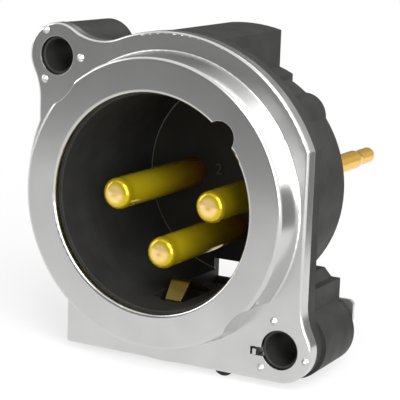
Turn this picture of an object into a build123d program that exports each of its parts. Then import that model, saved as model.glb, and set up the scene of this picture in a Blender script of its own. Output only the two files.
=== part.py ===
"""Male three-pole connector for a panel and a circuit board, built in millimetres.

The bore's axis runs along Y and the mouth faces -Y. +X is to the right seen from the front, and +Z is up.
The origin is on the bore's axis, in the front face of the flange, which is the face that meets the panel.
Pieces: a die-cast front shell, a moulded housing, a contact insert, three turned contacts and a
stamped ground contact.
"""
import math
import os

from build123d import *

# Screw holes and the outline of the flange
screw_pitch = 19.8          # between the two holes, along X and along Z
ear_radius = 2.5            # outline round each hole
ear_reach = 0.89            # how far an ear stands out of the flat side
flat_half_length = 4.8      # half the length of the flat side
foot_left_length = 8.6      # straight foot, from the axis to its left end
foot_corner_radius = 0.25
ear_blend_radius = 4.5      # hollow curves that lead into the ears

# Front shell
shell_thickness = 1.1
shell_edge_radius = 0.22
collar_height = 2.54
collar_margin = 0.49         # flat of the flange between the collar's base and the flat side
collar_draft_run = 0.24      # the collar is this much smaller at its front
collar_edge_radius = 0.28
collar_foot_radius = 0.25
lip_thickness = 0.75
aperture_radius = 8.2
aperture_edge_radius = 0.25
head_clearance_radius = 3.62  # scallop in the collar beside each screw head
screw_hole_radius = 1.48
bite_radius = 0.3            # pointed cones that bite through the panel's paint
bite_height = 0.28
bite_root = 0.2              # how deep the cone's base sits in the flange
bite_circle_radius = 2.15
bite_angles_upper = (0.0, 118.0, 240.0)
bite_angles_lower = (105.0, 227.0, 346.0)

# Socket bore, its floor and the keyway
bore_radius = 8.05
barrel_radius = 9.3
floor_y = 11.2
barrel_rear_y = 11.55
key_angle = 44.7             # degrees above +X
key_centre_radius = 7.95
key_radius = 1.2
key_wall = 0.6

# Housing
housing_flange_thickness = 1.2
housing_outline_inset = 0.05
upper_boss_radius = 2.44     # at the flange
lower_boss_radius = 2.68
boss_draft = 0.8             # degrees
boss_rear_y = 7.7
boss_edge_radius = 0.25
pilot_radius = 1.25
pilot_chamfer = 0.05
spigot_setback = 0.25        # front end of the spigot behind the flange's face
block_left_x = 1.4
block_right_x = 3.03
block_top_radius = 12.4
block_rear_y = 12.05
block_wall = 1.0
block_core_depth = 6.5
rib_right_x = 4.2
rib_radius = 9.64
lug_x = 4.8
lug_radius = 0.9
lug_rise = 0.275             # its centre above the foot

# Pocket block for the ground contact, beside the lower boss
pocket_inset = 0.46          # its right face within the flat side
pocket_width = 2.15
pocket_height = 4.7          # above the hole's centre
pocket_step_width = 0.75
pocket_step_drop = 0.65
pocket_slope_run = 0.6
pocket_blend_radius = 0.3

# Contact insert
insert_cap_radius = 8.95
insert_cap_thickness = 0.5
insert_boss_radius = 5.9
insert_boss_rear_y = 14.5
insert_boss_edge_radius = 0.4
insert_rim_chamfer = 0.15    # round the floor of the bore
window_sill = 0.45           # lower end of the window in the cap, below the bore's wall
insert_skin = 0.15           # in front of each contact's body
insert_lug_radius = 1.55     # round each tail
insert_lug_height = 0.6

# Contacts
contact_circle_radius = 4.0
contact_radius = 1.2
contact_tip_y = -0.8
contact_dome_radius = 3.0    # slight dome of the tip
contact_tip_edge_radius = 0.5
contact_body_radius = 1.36   # inside the insert, in front of the shoulder
contact_body_length = 0.25
contact_shoulder_radius = 1.6
contact_shoulder_length = 2.3
contact_root_radius = 1.05
contact_root_stand = 0.2     # how far the tail's thick root stands out of the insert
tail_radius = 0.8
tail_step_y = 25.2
tail_taper_length = 0.65
tail_thin_radius = 0.68
tail_rear_y = 28.6
tail_tip_edge_radius = 0.4
contact_angles = {"contact_1": 0.0, "contact_2": 180.0, "contact_3": 270.0}

# Ground contact and the ways cut for it
sheet = 0.28
slot_centre_x = -0.3
slot_width = 2.84
slot_depth = 1.2             # from the bore's wall up into its floor
groove_depth = 0.85
tongue_centre_x = -0.23
tongue_width = 1.36
tongue_crest_width = 1.64
tongue_bend_drop = 0.3       # below the bore's wall, where the strip turns back
tongue_root_run = 0.76       # from the strip to the foot of the spring
tongue_rise_run = 1.2
tongue_crest_rise = 1.1      # above the bore's wall
tongue_crest_length = 0.4
tongue_fall_run = 3.0
tongue_end_drop = 0.28
bend_radius = 0.3            # middle of the sheet, at each bend
strip_height = 1.1
strip_drop = 0.4             # its middle below the hole's centre
finger_gap = 0.24            # between the finger and the end of its slot
finger_slot_length = 2.36    # from the hole's centre
finger_slot_height = 0.64
finger_slot_drop = 0.35
finger_stand = 0.12          # how far the finger stands out of the flange
finger_top_gap = 0.15        # between the finger and the top of its slot
ring_width = 0.75
leg_width = 1.0
leg_right_gap = 0.2
leg_rise = 2.85              # above the hole's centre
tab_overhang = 1.35          # beyond the leg
tab_neck = 0.42              # from the leg's top to the overhang
tab_bottom_rise = 0.6        # above the hole's centre
tab_corner_radius = 0.4

# Clearances
fit_gap = 0.05
contact_gap = 0.02

# Modelling aids
overrun = 1.0                # how far a cut runs past the face it opens
pick_tolerance = 0.01        # for picking edges and corners by their place

# Places worked out from the sizes above
hole_x = screw_pitch / 2
hole_z = screw_pitch / 2
upper_hole = (-hole_x, hole_z)
lower_hole = (hole_x, -hole_z)
side_x = hole_x + ear_radius - ear_reach
arc_radius = math.hypot(side_x, flat_half_length)
collar_base_radius = side_x - collar_margin
collar_front_radius = collar_base_radius - collar_draft_run
foot_z = -(hole_z + ear_radius)
housing_front_y = shell_thickness
housing_flange_rear_y = shell_thickness + housing_flange_thickness
barrel_front_y = -collar_height + lip_thickness + fit_gap
spigot_radius = screw_hole_radius - fit_gap
insert_cap_rear_y = barrel_rear_y + insert_cap_thickness
groove_radius = bore_radius + groove_depth
insert_lug_rear_y = insert_boss_rear_y + insert_lug_height
body_front_y = floor_y + insert_skin
shoulder_front_y = body_front_y + contact_body_length
shoulder_rear_y = shoulder_front_y + contact_shoulder_length
root_rear_y = insert_lug_rear_y + contact_root_stand
pocket_right_x = side_x - pocket_inset
pocket_left_x = pocket_right_x - pocket_width
strip_z = -hole_z - strip_drop
leg_z = -hole_z + leg_rise
leg_right_x = pocket_right_x - leg_right_gap
leg_left_x = leg_right_x - leg_width
finger_x = hole_x - finger_slot_length + finger_gap
slot_left_x = slot_centre_x - slot_width / 2
slot_right_x = slot_centre_x + slot_width / 2
tongue_root_y = housing_front_y + sheet + fit_gap
key_place = (
    key_centre_radius * math.cos(math.radians(key_angle)),
    key_centre_radius * math.sin(math.radians(key_angle)),
)


def slab(sketch, y_front, y_back):
    """Solid between two depths, from a sketch with its axes along X and Z."""
    face = Plane(origin=(0, y_back, 0), x_dir=(1, 0, 0), z_dir=(0, -1, 0)) * sketch
    return extrude(face, amount=y_back - y_front)


def disc(radius, place, y_front, y_back):
    """Round solid between two depths, with its centre at a place (x, z)."""
    return slab(Pos(*place) * Circle(radius), y_front, y_back)


def box(x_left, x_right, z_low, z_high, y_front, y_back):
    """Block between two values along each axis."""
    sketch = Pos((x_left + x_right) / 2, (z_low + z_high) / 2) * Rectangle(x_right - x_left, z_high - z_low)
    return slab(sketch, y_front, y_back)


def turned(points, place=(0, 0)):
    """Solid of revolution about an axis along Y, from (radius, y) points."""
    profile = make_face(Polyline(*points, close=True))
    return Pos(place[0], 0, place[1]) * revolve(profile, axis=Axis.Y)


def near(value, target):
    """Whether a value lies at a target, within the tolerance for picking."""
    return abs(value - target) < pick_tolerance


def edges_at_depth(solid, y):
    """Edges that lie in the plane of one depth."""
    boxes = [(edge, edge.bounding_box()) for edge in solid.edges()]
    return [edge for edge, extent in boxes if near(extent.min.Y, y) and near(extent.max.Y, y)]


def ear_blend(sign, inset):
    """Hollow curve that leads a flat side of the outline into its ear, the lower right one for sign 1."""
    centre_x = side_x + ear_blend_radius
    reach = ear_radius + ear_blend_radius
    centre_z = -hole_z + math.sqrt(reach ** 2 - (centre_x - hole_x) ** 2)
    web = make_face(Polyline(
        (hole_x, -hole_z), (centre_x, centre_z), (side_x - inset, centre_z),
        (side_x - inset, -flat_half_length), (0, 0), close=True))
    web = web - Pos(centre_x, centre_z) * Circle(ear_blend_radius + inset)
    return web if sign > 0 else Rot(0, 0, 180) * web


def upper_ear_valley(inset):
    """Place where the upper ear's circle meets the top of the round outline."""
    round_radius = arc_radius - inset
    hole_distance = math.hypot(*upper_hole)
    along = (hole_distance ** 2 + round_radius ** 2 - (ear_radius - inset) ** 2) / (2 * hole_distance)
    across = math.sqrt(round_radius ** 2 - along ** 2)
    towards_ear = Vector(upper_hole[0], upper_hole[1]) / hole_distance
    return towards_ear * along + Vector(towards_ear.Y, -towards_ear.X) * across


def flange_outline(inset=0.0):
    """Outline of the flange, or one that lies within it: round, with flat sides, a foot and two ears."""
    side = side_x - inset
    left = foot_left_length - inset
    low = foot_z + inset
    round_radius = arc_radius - inset
    flat_right = Pos(side - round_radius, 0) * Rectangle(2 * round_radius, 2 * round_radius)
    round_part = Circle(round_radius) & flat_right
    foot = Pos((side - left) / 2, low / 2) * Rectangle(side + left, -low)
    foot_corner = [v for v in foot.vertices() if v.X < 0 and v.Y < low / 2]
    foot = fillet(foot_corner, foot_corner_radius - inset)
    beyond_ear = Pos(side_x, foot_z) * Rectangle(2 * (side_x - hole_x), 2 * ear_radius)
    foot = foot - beyond_ear
    ear = Circle(ear_radius - inset)
    outline = round_part + foot + Pos(*upper_hole) * ear + Pos(*lower_hole) * ear
    outline = outline + ear_blend(1, inset) + ear_blend(-1, inset)
    place = upper_ear_valley(inset)
    valley = [v for v in outline.vertices() if near(v.X, place.X) and near(v.Y, place.Y)]
    return fillet(valley, ear_blend_radius + inset)


def collar():
    """Raised collar round the mouth, with draft, a round front edge and a hollow foot."""
    profile = make_face(Polyline(
        (aperture_radius, -collar_height), (collar_front_radius, -collar_height),
        (collar_base_radius, 0), (collar_base_radius + collar_foot_radius, 0),
        (collar_base_radius + collar_foot_radius, shell_thickness / 2),
        (aperture_radius, shell_thickness / 2), close=True))
    outer = [v for v in profile.vertices() if near(v.X, collar_front_radius) and near(v.Y, -collar_height)]
    profile = fillet(outer, collar_edge_radius)
    inner = [v for v in profile.vertices() if near(v.X, aperture_radius) and near(v.Y, -collar_height)]
    profile = fillet(inner, aperture_edge_radius)
    foot = [v for v in profile.vertices() if near(v.X, collar_base_radius) and near(v.Y, 0)]
    profile = fillet(foot, collar_foot_radius / 2)
    return revolve(profile, axis=Axis.Y)


def bites():
    """Three pointed cones round each screw hole."""
    cones = []
    for hole, angles in ((upper_hole, bite_angles_upper), (lower_hole, bite_angles_lower)):
        for angle in angles:
            x = hole[0] + bite_circle_radius * math.cos(math.radians(angle))
            z = hole[1] + bite_circle_radius * math.sin(math.radians(angle))
            cones.append(turned(
                [(0, -bite_height), (bite_radius, 0), (bite_radius, bite_root), (0, bite_root)], (x, z)))
    return cones


def finger_slot():
    """Slot that leads from the lower screw hole to the ground finger."""
    left = hole_x - finger_slot_length
    centre_z = -hole_z - finger_slot_drop
    half = finger_slot_height / 2
    return box(left, hole_x, centre_z - half, centre_z + half, -overrun, shell_thickness)


def front_shell():
    """Nickel-plated die-casting: flange, collar, lip round the mouth, and the bites."""
    plate = slab(flange_outline(), 0, shell_thickness)
    plate = fillet(edges_at_depth(plate, 0), shell_edge_radius)
    ring = collar()
    for hole in (upper_hole, lower_hole):
        ring = ring - disc(head_clearance_radius, hole, -collar_height - overrun, 0)
    shell = plate + ring
    pocket_radius = barrel_radius + fit_gap
    shell = shell - disc(pocket_radius, (0, 0), -collar_height + lip_thickness, shell_thickness)
    shell = shell - disc(aperture_radius, (0, 0), -collar_height + lip_thickness / 2, shell_thickness)
    shell = shell - disc(key_radius, key_place, -collar_height - overrun, shell_thickness)
    key_pocket_radius = key_radius + key_wall + fit_gap
    shell = shell - disc(key_pocket_radius, key_place, -collar_height + lip_thickness, shell_thickness)
    for hole in (upper_hole, lower_hole):
        shell = shell - disc(screw_hole_radius, hole, -overrun, shell_thickness)
    shell = shell - finger_slot()
    for cone in bites():
        shell = shell + cone
    return shell


def housing_blocks():
    """Top block and the rib beside it, both struck from the bore's axis."""
    top = Circle(block_top_radius) & (
        Pos((block_right_x - block_left_x) / 2, block_top_radius / 2)
        * Rectangle(block_left_x + block_right_x, block_top_radius))
    rib = Circle(rib_radius) & (
        Pos((block_right_x + rib_right_x) / 2, rib_radius / 2)
        * Rectangle(rib_right_x - block_right_x, rib_radius))
    core = Circle(block_top_radius - block_wall) & (
        Pos((block_right_x - block_left_x) / 2, block_top_radius / 2)
        * Rectangle(block_left_x + block_right_x - 2 * block_wall, block_top_radius))
    core = core - Circle(barrel_radius)
    blocks = slab(top, housing_front_y, block_rear_y) + slab(rib, housing_front_y, block_rear_y)
    return blocks, slab(core, block_rear_y - block_core_depth, block_rear_y)


def pocket_block():
    """Block above the lower boss, which carries the leg of the ground contact."""
    top_z = -hole_z + pocket_height
    step_z = top_z - pocket_step_drop
    step_x = pocket_right_x - pocket_step_width
    profile = make_face(Polyline(
        (pocket_left_x, top_z), (step_x - pocket_slope_run, top_z), (step_x, step_z),
        (pocket_right_x, step_z), (pocket_right_x, -hole_z), (pocket_left_x, -hole_z), close=True))
    step = [v for v in profile.vertices() if near(v.X, step_x)]
    profile = fillet(step, pocket_blend_radius)
    return slab(profile, housing_front_y, boss_rear_y)


def bosses():
    """Two drafted screw bosses, each with a spigot that fits the shell's hole."""
    solids = []
    narrowing = (boss_rear_y - housing_flange_rear_y) * math.tan(math.radians(boss_draft))
    for hole, radius in ((upper_hole, upper_boss_radius), (lower_hole, lower_boss_radius)):
        boss = turned([
            (0, spigot_setback), (spigot_radius, spigot_setback), (spigot_radius, housing_flange_rear_y),
            (radius, housing_flange_rear_y), (radius - narrowing, boss_rear_y), (0, boss_rear_y)], hole)
        solids.append(fillet(edges_at_depth(boss, boss_rear_y), boss_edge_radius))
    return solids


def pilot_holes():
    """Pilot bores for the self-cutting screws, with a chamfer at the front."""
    holes = []
    for hole in (upper_hole, lower_hole):
        holes.append(turned([
            (0, spigot_setback - overrun), (pilot_radius + pilot_chamfer, spigot_setback - overrun),
            (pilot_radius + pilot_chamfer, spigot_setback), (pilot_radius, spigot_setback + pilot_chamfer),
            (pilot_radius, boss_rear_y + overrun), (0, boss_rear_y + overrun)], hole))
    return holes


def ground_ways():
    """Cuts in the housing for the ground contact: the groove, the strip's recess and the leg's slot."""
    groove = box(slot_left_x, slot_right_x, -groove_radius, -bore_radius / 2, tongue_root_y, barrel_rear_y)
    half_door = tongue_width / 2 + fit_gap
    door = box(tongue_centre_x - half_door, tongue_centre_x + half_door, strip_z, -bore_radius / 2,
               housing_front_y, tongue_root_y)
    recess = strip_plate(housing_front_y, housing_front_y + sheet + fit_gap, fit_gap)
    leg = box(leg_left_x - fit_gap, leg_right_x + fit_gap, leg_z - sheet - fit_gap, leg_z + fit_gap,
              housing_front_y, boss_rear_y)
    return [groove, door, recess, leg]


def housing():
    """Black moulding: barrel, base flange, bosses, top block and the pocket for the ground contact."""
    body = slab(flange_outline(housing_outline_inset), housing_front_y, housing_flange_rear_y)
    body = body + disc(lug_radius, (lug_x, foot_z + lug_rise), housing_front_y, housing_flange_rear_y)
    body = body + disc(barrel_radius, (0, 0), barrel_front_y, barrel_rear_y)
    body = body + disc(key_radius + key_wall, key_place, barrel_front_y, barrel_rear_y)
    blocks, core = housing_blocks()
    body = body + blocks + pocket_block()
    for boss in bosses():
        body = body + boss
    seat_radius = insert_cap_radius + fit_gap
    cuts = [
        core,
        disc(bore_radius, (0, 0), barrel_front_y - overrun, block_rear_y + overrun),
        disc(key_radius, key_place, barrel_front_y - overrun, floor_y),
        disc(seat_radius, (0, 0), barrel_rear_y, block_rear_y + overrun),
    ]
    for cut in cuts + pilot_holes() + ground_ways():
        body = body - cut
    return body


def contact_insert():
    """Moulded insert that closes the bore and holds the three contacts."""
    body = disc(bore_radius - fit_gap, (0, 0), floor_y, barrel_rear_y)
    body = chamfer(edges_at_depth(body, floor_y), insert_rim_chamfer)
    body = body + disc(insert_cap_radius, (0, 0), barrel_rear_y, insert_cap_rear_y)
    rear = disc(insert_boss_radius, (0, 0), barrel_rear_y, insert_boss_rear_y)
    rear = fillet(edges_at_depth(rear, insert_boss_rear_y), insert_boss_edge_radius)
    body = body + rear
    slot_top_z = -bore_radius + slot_depth
    slot_sill_z = -bore_radius - window_sill
    body = body - box(slot_left_x, slot_right_x, slot_sill_z, slot_top_z, floor_y, insert_cap_rear_y)
    skin_rear_y = body_front_y - contact_gap
    seat_front_y = shoulder_front_y - contact_gap
    seat_rear_y = shoulder_rear_y + contact_gap
    front_radius = contact_radius + contact_gap
    body_radius = contact_body_radius + contact_gap
    seat_radius = contact_shoulder_radius + contact_gap
    root_radius = contact_root_radius + contact_gap
    for angle in contact_angles.values():
        place = contact_place(angle)
        body = body + disc(insert_lug_radius, place, seat_rear_y, insert_lug_rear_y)
        body = body - turned([
            (0, floor_y - overrun), (front_radius, floor_y - overrun), (front_radius, skin_rear_y),
            (body_radius, skin_rear_y), (body_radius, seat_front_y), (seat_radius, seat_front_y),
            (seat_radius, seat_rear_y), (root_radius, seat_rear_y),
            (root_radius, insert_lug_rear_y + overrun), (0, insert_lug_rear_y + overrun)], place)
    return body


def contact_place(angle):
    """Centre (x, z) of a contact."""
    return (contact_circle_radius * math.cos(math.radians(angle)),
            contact_circle_radius * math.sin(math.radians(angle)))


def contact(angle):
    """Turned contact: pin with a slight dome, shoulder inside the insert, and a tail for soldering."""
    profile = make_face(Polyline(
        (0, contact_tip_y), (contact_radius, contact_tip_y), (contact_radius, body_front_y),
        (contact_body_radius, body_front_y), (contact_body_radius, shoulder_front_y),
        (contact_shoulder_radius, shoulder_front_y), (contact_shoulder_radius, shoulder_rear_y),
        (contact_root_radius, shoulder_rear_y), (contact_root_radius, root_rear_y),
        (tail_radius, root_rear_y), (tail_radius, tail_step_y),
        (tail_thin_radius, tail_step_y + tail_taper_length),
        (tail_thin_radius, tail_rear_y), (0, tail_rear_y), close=True))
    dome_depth = contact_dome_radius - math.sqrt(contact_dome_radius ** 2 - contact_radius ** 2)
    outside_dome = Pos(0, contact_tip_y) * Rectangle(2 * contact_radius + overrun, 2 * dome_depth)
    outside_dome = outside_dome - Pos(0, contact_tip_y + contact_dome_radius) * Circle(contact_dome_radius)
    profile = profile - outside_dome
    tip = [v for v in profile.vertices() if near(v.Y, contact_tip_y + dome_depth)]
    profile = fillet(tip, contact_tip_edge_radius)
    tail = [v for v in profile.vertices() if near(v.X, tail_thin_radius) and near(v.Y, tail_rear_y)]
    profile = fillet(tail, tail_tip_edge_radius)
    x, z = contact_place(angle)
    return Pos(x, 0, z) * revolve(profile, axis=Axis.Y)


def strip_sketch(grow):
    """Outline of the ground contact's flat strip: upright at the bore, foot, ring round the hole, riser."""
    left = tongue_centre_x - tongue_width / 2 - grow
    right = tongue_centre_x + tongue_width / 2 + grow
    low = strip_z - strip_height / 2 - grow
    high = strip_z + strip_height / 2 + grow
    top = -bore_radius - tongue_bend_drop - bend_radius
    upright = make_face(Polyline((left, low), (right, low), (right, top), (left, top), close=True))
    foot_right = finger_x + sheet + grow
    foot = make_face(Polyline((left, low), (foot_right, low), (foot_right, high), (left, high), close=True))
    ring = Pos(*lower_hole) * Circle(spigot_radius + fit_gap + ring_width + grow)
    riser = make_face(Polyline(
        (leg_left_x - grow, -hole_z), (leg_right_x + grow, -hole_z), (leg_right_x + grow, leg_z + grow),
        (leg_left_x - grow, leg_z + grow), close=True))
    hole = Pos(*lower_hole) * Circle(spigot_radius + fit_gap - grow)
    return upright + foot + ring + riser - hole


def strip_plate(y_front, y_back, grow=0.0):
    """The flat strip between two depths."""
    return slab(strip_sketch(grow), y_front, y_back)


def tongue():
    """Spring of the ground contact, bent back from the strip and humped into the bore, wider at its crest."""
    strip_mid_y = housing_front_y + sheet / 2
    root_y = strip_mid_y + tongue_root_run
    crest_y = root_y + tongue_rise_run
    crest_end_y = crest_y + tongue_crest_length
    end_y = crest_end_y + tongue_fall_run
    root_z = -bore_radius - tongue_bend_drop
    crest_z = -bore_radius + tongue_crest_rise
    path = FilletPolyline(
        (strip_mid_y, strip_z), (strip_mid_y, root_z), (root_y, root_z), (crest_y, crest_z),
        (crest_end_y, crest_z), (end_y, -bore_radius - tongue_end_drop), radius=bend_radius)
    side = trace(path, line_width=sheet)
    at_left = Plane(origin=(tongue_centre_x - tongue_crest_width / 2, 0, 0), x_dir=(0, 1, 0), z_dir=(1, 0, 0))
    ribbon = extrude(at_left * side, amount=tongue_crest_width)
    half = tongue_width / 2
    half_crest = tongue_crest_width / 2
    plan = make_face(Polyline(
        (-half, 0), (half, 0), (half, root_y), (half_crest, crest_y), (half_crest, crest_end_y),
        (half, end_y + sheet), (-half, end_y + sheet), (-half_crest, crest_end_y), (-half_crest, crest_y),
        (-half, root_y), close=True))
    above = Plane(origin=(tongue_centre_x, 0, strip_z), x_dir=(1, 0, 0), z_dir=(0, 0, 1))
    return ribbon & extrude(above * plan, amount=-strip_z)


def ground_contact():
    """Stamped and bent bronze: spring tongue in the bore, finger at the screw hole, leg and rear tab."""
    body = strip_plate(housing_front_y, housing_front_y + sheet) + tongue()
    finger_low = -hole_z - finger_slot_drop - finger_slot_height / 2 + fit_gap
    finger_high = finger_low - fit_gap + finger_slot_height - finger_top_gap
    strip_rear_y = housing_front_y + sheet
    body = body + box(finger_x, finger_x + sheet, finger_low, finger_high, -finger_stand, strip_rear_y)
    tab_front_y = boss_rear_y + fit_gap
    tab_rear_y = tab_front_y + sheet
    body = body + box(leg_left_x, leg_right_x, leg_z - sheet, leg_z, housing_front_y, tab_rear_y)
    tab_right_x = leg_right_x + tab_overhang
    neck_z = leg_z - tab_neck
    bottom_z = -hole_z + tab_bottom_rise
    tab = make_face(Polyline(
        (leg_left_x, leg_z), (leg_right_x, leg_z), (leg_right_x, neck_z), (tab_right_x, neck_z),
        (tab_right_x, bottom_z), (leg_left_x, bottom_z), close=True))
    corner = [v for v in tab.vertices() if near(v.X, tab_right_x)]
    tab = fillet(corner, tab_corner_radius)
    tab = tab - Pos(*lower_hole) * Circle(pilot_radius + fit_gap)
    return body + slab(tab, tab_front_y, tab_rear_y)


def write(name, solid):
    """Write one node's STEP file."""
    solid.label = name
    export_step(solid, f"parts/{name}.step")


os.makedirs("parts", exist_ok=True)
write("front_shell", front_shell())
write("housing", housing())
write("contact_insert", contact_insert())
for contact_name, contact_angle in contact_angles.items():
    write(contact_name, contact(contact_angle))
write("ground_contact", ground_contact())
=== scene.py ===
"""Studio scene and finishes for a male three-pole panel connector with solder tails.

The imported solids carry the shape. This file gives each of them its finish, adds the raised pin numbers
on the floor of the bore and a rib under the insert's rim, and sets the floor, the lamps and the camera.
"""

from __future__ import annotations

import logging
import math
from dataclasses import dataclass, field
from enum import Enum

import bmesh
import bpy
from mathutils import Matrix, Vector


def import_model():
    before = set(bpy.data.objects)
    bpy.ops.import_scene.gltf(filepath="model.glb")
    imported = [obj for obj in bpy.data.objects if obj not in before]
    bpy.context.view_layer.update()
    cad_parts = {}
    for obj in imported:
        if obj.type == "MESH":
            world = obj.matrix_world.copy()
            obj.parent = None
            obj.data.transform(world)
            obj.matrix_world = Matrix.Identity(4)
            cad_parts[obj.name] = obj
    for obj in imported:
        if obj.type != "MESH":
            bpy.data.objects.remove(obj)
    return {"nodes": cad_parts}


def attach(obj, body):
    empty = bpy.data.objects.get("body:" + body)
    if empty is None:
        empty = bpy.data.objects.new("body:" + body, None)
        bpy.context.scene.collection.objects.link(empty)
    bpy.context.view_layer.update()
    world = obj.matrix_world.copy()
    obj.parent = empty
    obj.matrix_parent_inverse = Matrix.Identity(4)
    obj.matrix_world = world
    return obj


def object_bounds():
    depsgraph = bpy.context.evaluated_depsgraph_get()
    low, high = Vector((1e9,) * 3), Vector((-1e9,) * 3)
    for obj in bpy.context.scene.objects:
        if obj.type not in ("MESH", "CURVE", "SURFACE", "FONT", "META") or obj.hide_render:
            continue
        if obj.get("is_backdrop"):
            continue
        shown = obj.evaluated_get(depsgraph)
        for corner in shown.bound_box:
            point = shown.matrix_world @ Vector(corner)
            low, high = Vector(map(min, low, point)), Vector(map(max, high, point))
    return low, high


MM = 0.001
TARGET_MM = (0.0, 5.0, 0.0)
WHITE = "#ffffff"
log = logging.getLogger("connector")

# Sockets of a Mix node that mixes colours. They share their names with those for numbers.
MIX_FACTOR, MIX_FIRST, MIX_SECOND, MIX_RESULT = 0, 6, 7, 2

# Noise seldom leaves this range, which is stretched to the whole of 0 to 1.
NOISE_LOW, NOISE_HIGH = 0.35, 0.65

# Rays that look for an edge nearby, where the shading is rounded.
EDGE_SAMPLES = 6


def linear(code: str) -> tuple[float, float, float, float]:
    """Turn an sRGB hex colour into the linear colour that a shader takes.

    Args:
        code: Six hex digits with a leading hash.

    Returns:
        Red, green, blue and an alpha of one.
    """
    channels = []
    for i in (1, 3, 5):
        value = int(code[i:i + 2], 16) / 255
        channels.append(value / 12.92 if value <= 0.04045 else ((value + 0.055) / 1.055) ** 2.4)
    return channels[0], channels[1], channels[2], 1.0


def add_node(
    tree: bpy.types.NodeTree,
    kind: str,
    settings: dict[str, object] | None = None,
    inputs: dict[str | int, object] | None = None,
) -> bpy.types.Node:
    """Add one node, set it up and link what leads into it.

    Args:
        tree: Node tree that takes the node.
        kind: Type name of the node.
        settings: Properties of the node itself.
        inputs: Values of its sockets, or the output sockets that feed them.

    Returns:
        The new node.
    """
    node = tree.nodes.new(kind)
    for name, value in (settings or {}).items():
        setattr(node, name, value)
    for name, value in (inputs or {}).items():
        if isinstance(value, bpy.types.NodeSocket):
            tree.links.new(value, node.inputs[name])
        else:
            node.inputs[name].default_value = value
    return node


class Making(Enum):
    """How a surface was made, and the depth of the marks that this leaves, in millimetres."""

    DIE_CAST = 0.0004
    MOULDED = 0.006
    TURNED = 0.0008
    STAMPED = 0.002


def cleared(name: str) -> tuple[bpy.types.Material, bpy.types.NodeTree]:
    """Begin a material with an empty node tree.

    Args:
        name: Name of the material.

    Returns:
        The material and its node tree.
    """
    material = bpy.data.materials.new(name)
    material.use_nodes = True
    material.node_tree.nodes.clear()
    return material, material.node_tree


@dataclass(frozen=True)
class Finish:
    """What all finishes share: a name, the making, two tones of one colour, the sheen and the edges."""

    name: str
    making: Making
    base: str
    shade: str
    roughness: float
    roughness_spread: float
    edge_mm: float

    def surface(
        self,
        tree: bpy.types.NodeTree,
        clouds: bpy.types.NodeSocket,
        marks: bpy.types.NodeSocket,
        settings: dict[str, object],
    ) -> None:
        """Lead the clouds and the marks into the shader.

        Args:
            tree: Node tree that takes the nodes.
            clouds: Slow pattern from 0 to 1, for the tone and the sheen.
            marks: Fine pattern from 0 to 1, for the height of the marks.
            settings: Constant values of the shader's own sockets.
        """
        even = add_node(
            tree, "ShaderNodeMapRange",
            inputs={"Value": clouds, "From Min": NOISE_LOW, "From Max": NOISE_HIGH})
        tone = add_node(
            tree, "ShaderNodeMix", {"data_type": "RGBA"},
            {MIX_FACTOR: even.outputs["Result"], MIX_FIRST: self.tint(tree, self.shade),
             MIX_SECOND: self.tint(tree, self.base)})
        sheen = add_node(
            tree, "ShaderNodeMapRange",
            inputs={"Value": even.outputs["Result"], "To Min": self.roughness + self.roughness_spread,
                    "To Max": self.roughness - self.roughness_spread})
        edge = add_node(tree, "ShaderNodeBevel", {"samples": EDGE_SAMPLES}, {"Radius": self.edge_mm * MM})
        relief = add_node(
            tree, "ShaderNodeBump",
            inputs={"Height": marks, "Distance": self.making.value * MM,
                    "Normal": edge.outputs["Normal"]})
        shader = add_node(
            tree, "ShaderNodeBsdfPrincipled",
            inputs={"Base Color": tone.outputs[MIX_RESULT], "Roughness": sheen.outputs["Result"],
                    "Normal": relief.outputs["Normal"], **settings})
        add_node(tree, "ShaderNodeOutputMaterial", inputs={"Surface": shader.outputs["BSDF"]})

    def tint(self, tree: bpy.types.NodeTree, colour: str) -> bpy.types.NodeSocket | tuple[float, ...]:
        """Colour of one tone, the same all over the piece.

        Args:
            tree: Node tree that takes the nodes of a tint that varies.
            colour: The tone in the open.

        Returns:
            What feeds the tone.
        """
        return linear(colour)


@dataclass(frozen=True)
class NickelCasting(Finish):
    """Zinc die-casting with satin nickel plate.

    The plate follows the skin of the casting, so the eye gets an even, soft sheen with hardly any grain,
    slow changes of tone where the metal flowed, and edges that the plating has rounded and that shine.
    """

    flow_mm: float = 4.0
    skin_mm: float = 0.12
    detail: float = 2.0

    def build(self) -> bpy.types.Material:
        """Make the material.

        Returns:
            The material.
        """
        material, tree = cleared(self.name)
        place = add_node(tree, "ShaderNodeTexCoord")
        flow = add_node(
            tree, "ShaderNodeTexNoise",
            inputs={"Vector": place.outputs["Object"], "Scale": 1 / (self.flow_mm * MM),
                    "Detail": self.detail})
        skin = add_node(
            tree, "ShaderNodeTexNoise",
            inputs={"Vector": place.outputs["Object"], "Scale": 1 / (self.skin_mm * MM),
                    "Detail": self.detail})
        self.surface(tree, flow.outputs["Fac"], skin.outputs["Fac"], {"Metallic": 1.0})
        return material


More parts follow.
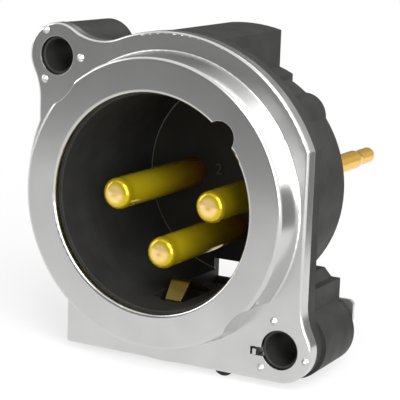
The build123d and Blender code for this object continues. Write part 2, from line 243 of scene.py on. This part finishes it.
@dataclass(frozen=True)
class FilledNylon(Finish):
    """Black glass-filled nylon, injection moulded in a spark-eroded tool.

    The tool leaves a fine, even matt grain, here drawn at 0.16 mm, about twice its real size, so that it
    shows. Glass near the surface makes slow, greyer clouds. Edges have the small radius of the tool.
    """

    grain_mm: float = 0.16
    grain_smoothness: float = 0.6
    cloud_mm: float = 2.5
    cloud_detail: float = 4.0
    ior: float = 1.53
    gloss: float = 0.18

    def build(self) -> bpy.types.Material:
        """Make the material.

        Returns:
            The material.
        """
        material, tree = cleared(self.name)
        place = add_node(tree, "ShaderNodeTexCoord")
        cloud = add_node(
            tree, "ShaderNodeTexNoise",
            inputs={"Vector": place.outputs["Object"], "Scale": 1 / (self.cloud_mm * MM),
                    "Detail": self.cloud_detail})
        grain = add_node(
            tree, "ShaderNodeTexVoronoi", {"feature": "SMOOTH_F1"},
            {"Vector": place.outputs["Object"], "Scale": 1 / (self.grain_mm * MM),
             "Smoothness": self.grain_smoothness})
        self.surface(
            tree, cloud.outputs["Fac"], grain.outputs["Distance"],
            {"IOR": self.ior, "Specular IOR Level": self.gloss})
        return material


@dataclass(frozen=True)
class PressedNylon(FilledNylon):
    """The same nylon on a disc that was pressed into a bore.

    Its chamfered rim carries a painted highlight: a thin, pale line round the dark floor.
    """

    rim_from_mm: float = 7.82
    rim_to_mm: float = 7.86
    rim_front_mm: float = 11.4
    rim_rear_mm: float = 11.45
    # Painted highlight: a pale grey in place of the light that the chamfered rim catches.
    painted_light_tone: str = "#9c9c98"

    def tint(self, tree: bpy.types.NodeTree, colour: str) -> bpy.types.NodeSocket:
        """The plastic's tone, and a painted highlight on the rim.

        Args:
            tree: Node tree that takes the nodes.
            colour: The tone inside the rim.

        Returns:
            The tone by the distance from the axis and the depth.
        """
        place = add_node(tree, "ShaderNodeTexCoord")
        along = add_node(tree, "ShaderNodeSeparateXYZ", inputs={"Vector": place.outputs["Object"]})
        ahead = add_node(
            tree, "ShaderNodeMapRange",
            inputs={"Value": along.outputs["Y"], "From Min": self.rim_front_mm * MM,
                    "From Max": self.rim_rear_mm * MM, "To Min": 1.0, "To Max": 0.0})
        flat = add_node(
            tree, "ShaderNodeVectorMath", {"operation": "MULTIPLY"},
            {0: place.outputs["Object"], 1: (1.0, 0.0, 1.0)})
        radius = add_node(
            tree, "ShaderNodeVectorMath", {"operation": "LENGTH"}, {0: flat.outputs["Vector"]})
        rim = add_node(
            tree, "ShaderNodeMapRange",
            inputs={"Value": radius.outputs["Value"], "From Min": self.rim_from_mm * MM,
                    "From Max": self.rim_to_mm * MM})
        # Where the painted highlight goes: on the rim, at the front of the disc.
        edge = add_node(
            tree, "ShaderNodeMath", {"operation": "MULTIPLY"},
            {0: rim.outputs["Result"], 1: ahead.outputs["Result"]})
        mixed = add_node(
            tree, "ShaderNodeMix", {"data_type": "RGBA"},
            {MIX_FACTOR: edge.outputs["Value"], MIX_FIRST: linear(colour),
             MIX_SECOND: linear(self.painted_light_tone)})
        return mixed.outputs[MIX_RESULT]


@dataclass(frozen=True)
class GoldPlate(Finish):
    """Turned brass with a thin gold plate.

    The plate is bright and pale yellow on the turned tip. Behind the tip the tone is painted shade, one
    tone after another along the axis: deeper yellow, then olive, and brown in the dark of the bore near
    the insert, where light has met gold several times. The tail behind the insert is amber. The cutting
    tool leaves lines round the axis, 0.12 mm apart, and the thin plate scatters a part of the light.
    """

    feed_mm: float = 0.12
    feed_detail: float = 1.0
    cloud_mm: float = 1.2
    cloud_detail: float = 2.0
    metallic: float = 0.58
    # Painted shade along the axis: deeper yellow near the tip, olive and brown deep in the bore, amber on
    # the tail.
    painted_shade_tones: tuple[tuple[float, float, str], ...] = (
        (-0.75, -0.68, "#ceb41e"),
        (-0.4, 0.6, "#f4d822"),
        (4.0, 11.0, "#a86408"),
        (14.0, 14.35, "#f2c250"),
    )

    def tint(self, tree: bpy.types.NodeTree, colour: str) -> bpy.types.NodeSocket:
        """The tip's tone, and behind it painted shade, one tone after another along the axis.

        Args:
            tree: Node tree that takes the nodes.
            colour: The tone of the tip.

        Returns:
            The tone by its place along the axis.
        """
        place = add_node(tree, "ShaderNodeTexCoord")
        along = add_node(tree, "ShaderNodeSeparateXYZ", inputs={"Vector": place.outputs["Object"]})
        tone: bpy.types.NodeSocket | tuple[float, ...] = linear(colour)
        for start_mm, end_mm, behind in self.painted_shade_tones:
            passed = add_node(
                tree, "ShaderNodeMapRange",
                inputs={"Value": along.outputs["Y"], "From Min": start_mm * MM, "From Max": end_mm * MM})
            mixed = add_node(
                tree, "ShaderNodeMix", {"data_type": "RGBA"},
                {MIX_FACTOR: passed.outputs["Result"], MIX_FIRST: tone, MIX_SECOND: linear(behind)})
            tone = mixed.outputs[MIX_RESULT]
        return tone

    def build(self) -> bpy.types.Material:
        """Make the material.

        Returns:
            The material.
        """
        material, tree = cleared(self.name)
        place = add_node(tree, "ShaderNodeTexCoord")
        cloud = add_node(
            tree, "ShaderNodeTexNoise",
            inputs={"Vector": place.outputs["Object"], "Scale": 1 / (self.cloud_mm * MM),
                    "Detail": self.cloud_detail})
        feed = 1 / (self.feed_mm * MM)
        along = add_node(
            tree, "ShaderNodeMapping",
            inputs={"Vector": place.outputs["Object"], "Scale": (0.0, feed, 0.0)})
        lines = add_node(
            tree, "ShaderNodeTexNoise",
            inputs={"Vector": along.outputs["Vector"], "Scale": 1.0, "Detail": self.feed_detail})
        self.surface(tree, cloud.outputs["Fac"], lines.outputs["Fac"], {"Metallic": self.metallic})
        return material


@dataclass(frozen=True)
class TinnedStrip(Finish):
    """Bronze strip, tin plated, then stamped and bent.

    Tin gives a dull, light grey shine, with fine lines along the strip from the rolling mill. The tongue
    in the bore is painted dim olive: painted shade of the bore and a painted reflection of the gold pins.
    """

    line_mm: float = 0.08
    line_stretch: float = 20.0
    line_detail: float = 2.0
    cloud_mm: float = 0.9
    cloud_detail: float = 3.0
    # Painted shade and painted reflection on the tongue in the bore: dim olive that gives way to the tin
    # across X.
    painted_light_tone: str = "#8c8046"
    painted_shade_to_mm: float = 1.5
    unshaded_from_mm: float = 3.0

    def tint(self, tree: bpy.types.NodeTree, colour: str) -> bpy.types.NodeSocket:
        """Painted shade, dim olive, on the tongue, and tin towards the finger.

        Args:
            tree: Node tree that takes the nodes.
            colour: The tone of the tin.

        Returns:
            The tone by its place across the connector.
        """
        place = add_node(tree, "ShaderNodeTexCoord")
        across = add_node(tree, "ShaderNodeSeparateXYZ", inputs={"Vector": place.outputs["Object"]})
        # Nought on the tongue, under the painted shade; one where the tin shows its own grey.
        out_of_painted_shade = add_node(
            tree, "ShaderNodeMapRange",
            inputs={"Value": across.outputs["X"], "From Min": self.painted_shade_to_mm * MM,
                    "From Max": self.unshaded_from_mm * MM})
        mixed = add_node(
            tree, "ShaderNodeMix", {"data_type": "RGBA"},
            {MIX_FACTOR: out_of_painted_shade.outputs["Result"], MIX_FIRST: linear(self.painted_light_tone),
             MIX_SECOND: linear(colour)})
        return mixed.outputs[MIX_RESULT]

    def build(self) -> bpy.types.Material:
        """Make the material.

        Returns:
            The material.
        """
        material, tree = cleared(self.name)
        place = add_node(tree, "ShaderNodeTexCoord")
        cloud = add_node(
            tree, "ShaderNodeTexNoise",
            inputs={"Vector": place.outputs["Object"], "Scale": 1 / (self.cloud_mm * MM),
                    "Detail": self.cloud_detail})
        line = 1 / (self.line_mm * MM)
        rolled = add_node(
            tree, "ShaderNodeMapping",
            inputs={"Vector": place.outputs["Object"], "Scale": (line, line / self.line_stretch, line)})
        lines = add_node(
            tree, "ShaderNodeTexNoise",
            inputs={"Vector": rolled.outputs["Vector"], "Scale": 1.0, "Detail": self.line_detail})
        self.surface(tree, cloud.outputs["Fac"], lines.outputs["Fac"], {"Metallic": 1.0})
        return material


def dress(solid: bpy.types.Object, material: bpy.types.Material) -> None:
    """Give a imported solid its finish.

    Args:
        solid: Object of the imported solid.
        material: Finish for all its faces.
    """
    solid.material_slots[0].material = material
    log.info("%s: dressed in %s", solid.name, material.name)


@dataclass
class FrontShell:
    """Die-cast front shell with its collar and ears."""

    node: str = "front_shell"
    finish: NickelCasting = NickelCasting(
        "zinc die-casting, satin nickel plate", Making.DIE_CAST, "#d8d8d7", "#d3d3d2", 0.22, 0.02, 0.05)

    def build(self, solids: dict[str, bpy.types.Object]) -> None:
        """Dress the shell.

        Args:
            solids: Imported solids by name.
        """
        dress(solids[self.node], self.finish.build())


@dataclass
class Mouldings:
    """Housing and contact insert, with pin numbers on the insert's face and a rib under its rim."""

    housing: str = "housing"
    insert: str = "contact_insert"
    floor_y_mm: float = 11.2
    number_height_mm: float = 1.3
    number_relief_mm: float = 0.2
    number_sink_mm: float = 0.03
    number_curve_steps: int = 6
    number_merge_mm: float = 0.0005
    rib_size_mm: tuple[float, float, float] = (2.4, 0.36, 0.9)
    rib_middle_mm: tuple[float, float, float] = (-1.3, 11.78, -8.95)
    rib_edge_mm: float = 0.06
    rib_edge_segments: int = 3
    number_places_mm: dict[str, tuple[float, float]] = field(default_factory=lambda: {
        "1": (1.5, 0.5),
        "2": (-1.5, 0.5),
        "3": (-2.6, -3.0),
    })
    housing_finish: FilledNylon = FilledNylon(
        "glass-filled nylon, spark-textured", Making.MOULDED, "#363634", "#2e2e2d", 0.52, 0.05, 0.12)
    insert_finish: PressedNylon = PressedNylon(
        "glass-filled nylon, pressed in", Making.MOULDED, "#2a2924", "#24231f", 0.45, 0.05, 0.06)
    # Painted highlight: the raised numbers are a lighter grey than the nylon round them; the lower
    # roughness is the polish.
    number_finish: FilledNylon = FilledNylon(
        "glass-filled nylon, polished number with painted highlight", Making.MOULDED, "#4a4943", "#42413c", 0.3, 0.04, 0.03)

    def number(self, text: str, x: float, z: float) -> bpy.types.Object:
        """Raise one pin number on the floor of the bore, upright and facing the mouth.

        Args:
            text: The number.
            x: Its middle along X, in millimetres.
            z: Its middle along Z, in millimetres.

        Returns:
            The number as a mesh.
        """
        curve = bpy.data.curves.new(f"pin_number_{text}", "FONT")
        curve.body = text
        curve.size = self.number_height_mm * MM
        curve.align_x = "CENTER"
        curve.align_y = "CENTER"
        curve.extrude = (self.number_relief_mm + self.number_sink_mm) / 2 * MM
        curve.resolution_u = self.number_curve_steps
        flat = bpy.data.objects.new(curve.name, curve)
        bpy.context.scene.collection.objects.link(flat)
        mesh = bpy.data.meshes.new_from_object(flat)
        bpy.data.objects.remove(flat)
        middle_y = self.floor_y_mm - (self.number_relief_mm - self.number_sink_mm) / 2
        upright = Matrix.Rotation(math.pi / 2, 4, "X")
        mesh.transform(Matrix.Translation(Vector((x, middle_y, z)) * MM) @ upright)
        shape = bmesh.new()
        shape.from_mesh(mesh)
        bmesh.ops.remove_doubles(shape, verts=shape.verts, dist=self.number_merge_mm * MM)
        bmesh.ops.recalc_face_normals(shape, faces=shape.faces)
        shape.to_mesh(mesh)
        shape.free()
        piece = bpy.data.objects.new(f"pin_number_{text}", mesh)
        bpy.context.scene.collection.objects.link(piece)
        return piece

    def rib(self) -> bpy.types.Object:
        """Rib under the insert's rim, which closes the gap behind the housing's sill.

        Returns:
            The rib as a mesh.
        """
        shape = bmesh.new()
        bmesh.ops.create_cube(shape, size=MM)
        bmesh.ops.scale(shape, vec=self.rib_size_mm, verts=shape.verts)
        bmesh.ops.bevel(
            shape, geom=shape.edges[:], offset=self.rib_edge_mm * MM, offset_type="OFFSET",
            segments=self.rib_edge_segments, profile=0.5, affect="EDGES", material=-1)
        bmesh.ops.translate(shape, vec=Vector(self.rib_middle_mm) * MM, verts=shape.verts)
        bmesh.ops.recalc_face_normals(shape, faces=shape.faces)
        mesh = bpy.data.meshes.new("insert_rib")
        shape.to_mesh(mesh)
        shape.free()
        piece = bpy.data.objects.new("insert_rib", mesh)
        bpy.context.scene.collection.objects.link(piece)
        return piece

    def build(self, solids: dict[str, bpy.types.Object]) -> None:
        """Dress both mouldings and add the rib and the numbers.

        Args:
            solids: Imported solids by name.
        """
        dress(solids[self.housing], self.housing_finish.build())
        insert_material = self.insert_finish.build()
        dress(solids[self.insert], insert_material)
        number_material = self.number_finish.build()
        added = [
            (self.number(text, x, z), number_material) for text, (x, z) in self.number_places_mm.items()]
        added.append((self.rib(), insert_material))
        for piece, material in added:
            piece.data.materials.clear()
            piece.data.materials.append(material)
            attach(piece, "root")
            log.info("%s: %d faces", piece.name, len(piece.data.polygons))


@dataclass
class Contacts:
    """Three gold-plated contacts."""

    nodes: tuple[str, ...] = ("contact_1", "contact_2", "contact_3")
    finish: GoldPlate = GoldPlate(
        "turned brass, gold plated", Making.TURNED, "#fede94", "#f8d484", 0.12, 0.02, 0.24)

    def build(self, solids: dict[str, bpy.types.Object]) -> None:
        """Dress the contacts.

        Args:
            solids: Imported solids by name.
        """
        material = self.finish.build()
        for name in self.nodes:
            dress(solids[name], material)


@dataclass
class GroundContact:
    """Stamped ground contact."""

    node: str = "ground_contact"
    finish: TinnedStrip = TinnedStrip(
        "bronze strip, stamped, tin plated", Making.STAMPED, "#dcdcda", "#cfcfcc", 0.34, 0.05, 0.03)

    def build(self, solids: dict[str, bpy.types.Object]) -> None:
        """Dress the stamping.

        Args:
            solids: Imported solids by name.
        """
        dress(solids[self.node], self.finish.build())


@dataclass(frozen=True)
class Lamp:
    """White soft box that looks at the connector, with its power in watts."""

    name: str
    place_mm: tuple[float, float, float]
    size_mm: tuple[float, float]
    power: float


@dataclass(frozen=True)
class Card:
    """Sheet that only shows in reflections, as a photographer stands up or lays beside shiny metal."""

    name: str
    place_mm: tuple[float, float, float]
    size_mm: tuple[float, float]
    colour: str
    aim_mm: tuple[float, float, float] = TARGET_MM


@dataclass
class Studio:
    """Floor, lamps, reflection cards, world and camera."""

    floor_radius_mm: float = 3000.0
    floor_colour: str = "#efefef"
    floor_fade_mm: tuple[float, float] = (20.0, 80.0)
    floor_white_near: float = 0.7
    world_strength: float = 0.45
    camera_place_mm: tuple[float, float, float] = (58.69, -101.41, 23.81)
    azimuth: float = 28.81
    elevation: float = 11.46
    roll: float = 1.99
    lens_mm: float = 144.96
    sensor_mm: float = 36.0
    nearest_mm: float = 2.0
    farthest_mm: float = 20000.0
    lamps: tuple[Lamp, ...] = (
        Lamp("key soft box", (170.0, -190.0, 230.0), (160.0, 160.0), 0.55),
        Lamp("right soft box", (230.0, -190.0, 60.0), (150.0, 150.0), 0.42),
        Lamp("left soft box", (-260.0, -120.0, 120.0), (140.0, 220.0), 0.22),
        Lamp("upper rear strip", (70.0, 220.0, 197.0), (195.0, 63.0), 0.11),
        Lamp("right rear strip", (201.0, 213.0, 100.0), (74.0, 170.0), 0.09),
        Lamp("front soft box", (90.0, -280.0, 50.0), (120.0, 120.0), 0.14),
    )
    cards: tuple[Card, ...] = (
        Card("near front card", (-11.0, -54.0, 17.0), (32.0, 60.0), "#848484"),
        Card("front right card", (19.0, -72.0, 8.0), (32.0, 46.0), "#949494"),
        Card("far front card", (-45.0, -63.0, 30.0), (58.0, 89.0), "#868686"),
        Card("floor card", (-27.0, -43.0, -13.0), (50.0, 40.0), "#e2e2e2", (-27.0, -43.0, 100.0)),
        Card("rear card", (-60.0, 200.0, 75.0), (260.0, 150.0), "#707070"),
        Card("rear side card", (82.0, 194.0, 45.0), (76.0, 140.0), "#a8a8a8"),
        Card("right rear card", (36.0, 40.0, -3.0), (34.0, 20.0), "#868686"),
    )

    def look(
        self, place_mm: tuple[float, float, float], aim_mm: tuple[float, float, float] = TARGET_MM,
    ) -> Matrix:
        """Rotation that turns local -Z from a place to what it looks at.

        Args:
            place_mm: Where it stands, in millimetres.
            aim_mm: What it looks at, in millimetres.

        Returns:
            Place and rotation as one matrix, in metres.
        """
        place = Vector(place_mm) * MM
        turn = (Vector(aim_mm) * MM - place).to_track_quat("-Z", "Y")
        return Matrix.Translation(place) @ turn.to_matrix().to_4x4()

    def seen_white(self, tree: bpy.types.NodeTree) -> bpy.types.NodeSocket:
        """Factor of one for rays that see the background, in metal too, and nought for rays that light.

        Args:
            tree: Node tree that takes the nodes.

        Returns:
            The factor.
        """
        path = add_node(tree, "ShaderNodeLightPath")
        first = add_node(
            tree, "ShaderNodeMath", {"operation": "MAXIMUM"},
            {0: path.outputs["Is Camera Ray"], 1: path.outputs["Is Glossy Ray"]})
        both = add_node(
            tree, "ShaderNodeMath", {"operation": "MAXIMUM"},
            {0: first.outputs["Value"], 1: path.outputs["Is Transmission Ray"]})
        return both.outputs["Value"]

    def world(self) -> None:
        """White to the camera and in reflections, and a plain grey light otherwise."""
        world = bpy.data.worlds.new("studio")
        world.use_nodes = True
        tree = world.node_tree
        tree.nodes.clear()
        seen = self.seen_white(tree)
        strength = add_node(
            tree, "ShaderNodeMapRange",
            inputs={"Value": seen, "To Min": self.world_strength, "To Max": 1.0})
        light = add_node(
            tree, "ShaderNodeBackground",
            inputs={"Color": linear(WHITE), "Strength": strength.outputs["Result"]})
        add_node(tree, "ShaderNodeOutputWorld", inputs={"Surface": light.outputs["Background"]})
        bpy.context.scene.world = world

    def sheet(self, name: str, width: float, height: float, place: Matrix) -> bpy.types.Object:
        """Flat sheet with its place in its mesh.

        Args:
            name: Name of the object.
            width: Along its own X, in millimetres.
            height: Along its own Y, in millimetres.
            place: Where it goes.

        Returns:
            The sheet.
        """
        shape = bmesh.new()
        bmesh.ops.create_grid(shape, x_segments=1, y_segments=1, size=0.5)
        bmesh.ops.scale(shape, vec=(width * MM, height * MM, 1.0), verts=shape.verts)
        bmesh.ops.transform(shape, matrix=place, verts=shape.verts)
        mesh = bpy.data.meshes.new(name)
        shape.to_mesh(mesh)
        shape.free()
        piece = bpy.data.objects.new(name, mesh)
        bpy.context.scene.collection.objects.link(piece)
        piece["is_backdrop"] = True
        return piece

    def floor(self, height: float) -> None:
        """Pale floor under the part, which fades to white with distance and keeps the shadow.

        Args:
            height: Its level, in metres.
        """
        side = 2 * self.floor_radius_mm
        piece = self.sheet("floor", side, side, Matrix.Translation((0.0, 0.0, height)))
        material = bpy.data.materials.new("floor paper")
        material.use_nodes = True
        tree = material.node_tree
        tree.nodes.clear()
        paper = add_node(
            tree, "ShaderNodeBsdfDiffuse", inputs={"Color": linear(self.floor_colour), "Roughness": 1.0})
        glow = add_node(tree, "ShaderNodeEmission", inputs={"Color": linear(WHITE), "Strength": 1.0})
        geometry = add_node(tree, "ShaderNodeNewGeometry")
        distance = add_node(
            tree, "ShaderNodeVectorMath", {"operation": "LENGTH"}, {0: geometry.outputs["Position"]})
        fade = add_node(
            tree, "ShaderNodeMapRange",
            inputs={"Value": distance.outputs["Value"], "From Min": self.floor_fade_mm[0] * MM,
                    "From Max": self.floor_fade_mm[1] * MM, "To Min": self.floor_white_near})
        factor = add_node(
            tree, "ShaderNodeMath", {"operation": "MULTIPLY"},
            {0: fade.outputs["Result"], 1: self.seen_white(tree)})
        mix = add_node(
            tree, "ShaderNodeMixShader",
            inputs={"Fac": factor.outputs["Value"], 1: paper.outputs["BSDF"],
                    2: glow.outputs["Emission"]})
        add_node(tree, "ShaderNodeOutputMaterial", inputs={"Surface": mix.outputs["Shader"]})
        piece.data.materials.append(material)

    def card(self, card: Card) -> None:
        """Put up one reflection card.

        Args:
            card: The card.
        """
        place = self.look(card.place_mm, card.aim_mm)
        piece = self.sheet(card.name, card.size_mm[0], card.size_mm[1], place)
        material = bpy.data.materials.new(card.name)
        material.use_nodes = True
        tree = material.node_tree
        tree.nodes.clear()
        glow = add_node(
            tree, "ShaderNodeEmission", inputs={"Color": linear(card.colour), "Strength": 1.0})
        add_node(tree, "ShaderNodeOutputMaterial", inputs={"Surface": glow.outputs["Emission"]})
        piece.data.materials.append(material)
        piece.visible_camera = False
        piece.visible_shadow = False
        piece.visible_diffuse = False

    def lamp(self, lamp: Lamp) -> None:
        """Hang one soft box.

        Args:
            lamp: The soft box.
        """
        light = bpy.data.lights.new(lamp.name, "AREA")
        light.shape = "RECTANGLE"
        light.size = lamp.size_mm[0] * MM
        light.size_y = lamp.size_mm[1] * MM
        light.energy = lamp.power
        piece = bpy.data.objects.new(lamp.name, light)
        piece.matrix_world = self.look(lamp.place_mm)
        piece.visible_camera = False
        bpy.context.scene.collection.objects.link(piece)

    def camera(self) -> None:
        """Stand the camera where the photograph was taken from, with its slight roll."""
        a, e, r = (math.radians(angle) for angle in (self.azimuth, self.elevation, self.roll))
        back = Vector((math.sin(a) * math.cos(e), -math.cos(a) * math.cos(e), math.sin(e)))
        right = Vector((math.cos(a), math.sin(a), 0.0))
        up = back.cross(right)
        rolled_right = math.cos(r) * right + math.sin(r) * up
        rolled_up = -math.sin(r) * right + math.cos(r) * up
        turn = Matrix((rolled_right, rolled_up, back)).transposed().to_4x4()
        data = bpy.data.cameras.new("camera")
        data.lens = self.lens_mm
        data.sensor_width = self.sensor_mm
        data.clip_start = self.nearest_mm * MM
        data.clip_end = self.farthest_mm * MM
        piece = bpy.data.objects.new("camera", data)
        piece.matrix_world = Matrix.Translation(Vector(self.camera_place_mm) * MM) @ turn
        bpy.context.scene.collection.objects.link(piece)
        bpy.context.scene.camera = piece

    def build(self, lowest: float) -> None:
        """Set up the whole studio.

        Args:
            lowest: Lowest point of the part, in metres.
        """
        self.world()
        self.floor(lowest)
        for card in self.cards:
            self.card(card)
        for lamp in self.lamps:
            self.lamp(lamp)
        self.camera()
        bpy.context.scene.view_settings.view_transform = "Standard"


def plain(bounds: tuple[Vector, Vector]) -> list[list[float]]:
    """Lowest and highest corner as plain lists of numbers.

    Args:
        bounds: The two corners.

    Returns:
        The corners as lists.
    """
    return [[float(v) for v in corner] for corner in bounds]


def main() -> None:
    """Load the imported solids, dress them, add the pieces and set up the studio."""
    logging.basicConfig(level=logging.INFO, format="%(name)s: %(message)s")
    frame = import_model()
    cad_box = plain(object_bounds())
    solids = frame["nodes"]
    for assembly in (FrontShell(), Mouldings(), Contacts(), GroundContact()):
        assembly.build(solids)
    Studio().build(cad_box[0][2])


if __name__ == "__main__":
    main()
